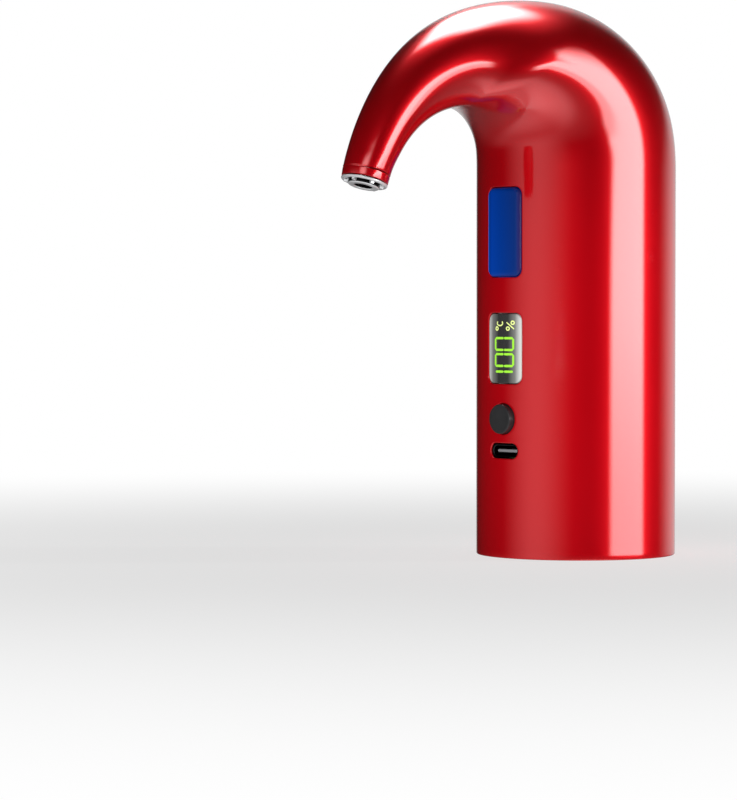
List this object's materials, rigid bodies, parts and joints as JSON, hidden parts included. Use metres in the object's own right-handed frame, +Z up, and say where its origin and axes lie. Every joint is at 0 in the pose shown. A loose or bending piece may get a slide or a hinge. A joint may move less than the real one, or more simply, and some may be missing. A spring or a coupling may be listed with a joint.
{
  "type": "electric wine aerator",
  "caption": "Hook-shaped electric wine aerator and dispenser that sits on a bottle neck, with a pour key, display, power button and charging port.",
  "frame": {"origin": "on the round body's axis, in the plane of the housing's bottom rim, where the bottle's neck goes in", "axes": "+Z up along the body's axis, -Y the way the spout points and the panel faces, +X to the right of the panel"},
  "size_m": [0.0488, 0.0979, 0.1347],
  "materials": {
    "red_paint": "glossy deep red paint",
    "blue_key": "satin blue moulded plastic",
    "black_plastic": "fine matt moulded plastic",
    "dark_lens": "smoked clear window",
    "grey_plastic": "moulded plastic",
    "white_plastic": "moulded plastic",
    "silver_plate": "bright plating",
    "steel": "bright steel",
    "dark_steel": "blackened steel",
    "copper": "enamelled copper windings",
    "brass": "plain brass",
    "magnet": "dull ferrite",
    "board_green": "green solder mask",
    "clear_silicone": "translucent silicone",
    "black_silicone": "matt black silicone",
    "cell_wrap": "shrink-wrapped metal can",
    "red_lead": "red wire insulation",
    "black_lead": "black wire insulation"
  },
  "bodies": {
    "housing": {"housing_left": "red_paint", "housing_right": "red_paint", "nozzle_collar": "red_paint", "aerator_insert": "silver_plate", "display_lens": "dark_lens", "display_module": "black_plastic", "usb_socket": "dark_steel", "usb_tongue": "grey_plastic", "circuit_board": "board_green", "pour_switch": "black_plastic", "power_switch": "black_plastic", "controller_chip": "black_plastic", "battery_connector": "white_plastic", "motor_connector": "white_plastic", "chassis": "grey_plastic", "pump_clamp": "black_plastic", "pump_clamp_screw": "steel", "battery_clamp": "black_plastic", "battery_clamp_screw": "steel", "base_screw_1": "steel", "base_screw_2": "steel", "base_screw_3": "steel", "base_screw_4": "steel", "board_screw_1": "steel", "board_screw_2": "steel", "motor_can": "steel", "motor_end_cap": "white_plastic", "shaft_bush": "brass", "magnet_1": "magnet", "magnet_2": "magnet", "pump_head_case": "black_plastic", "drive_plate": "white_plastic", "diaphragm": "black_silicone", "valve_plate": "white_plastic", "pump_cap": "black_plastic", "air_tube_upper": "clear_silicone", "check_valve_body": "white_plastic", "check_valve_bill": "clear_silicone", "air_tube_lower": "clear_silicone", "air_inlet": "steel", "wine_inlet": "steel", "wine_tube": "clear_silicone", "stopper": "black_silicone", "mouth_gasket": "black_silicone", "base_cup": "black_plastic", "battery_cell": "cell_wrap", "battery_tab_top": "silver_plate", "battery_tab_bottom": "silver_plate", "battery_lead_plus": "red_lead", "battery_lead_minus": "black_lead", "motor_lead_plus": "red_lead", "motor_lead_minus": "black_lead"},
    "pour_key": {"pour_key": "blue_key", "pour_switch_plunger": "white_plastic"},
    "power_button": {"power_button": "black_plastic", "power_switch_plunger": "white_plastic"},
    "rotor": {"armature": "copper", "commutator": "brass", "motor_shaft": "steel", "eccentric": "white_plastic"}
  },
  "joints": [
    {"name": "pour_key_press", "type": "slide", "parent": "housing", "child": "pour_key", "axis": [0, 1, 0], "range_m": [0, 0.0005], "stiffness_N_per_m": 500},
    {"name": "power_button_press", "type": "slide", "parent": "housing", "child": "power_button", "axis": [0, 1, 0], "range_m": [0, 0.0005], "stiffness_N_per_m": 500},
    {"name": "motor_spin", "type": "hinge", "parent": "housing", "child": "rotor", "pos_m": [-0.01102, 0.005, 0.0385], "axis": [0, 0, 1], "continuous": true}
  ]
}
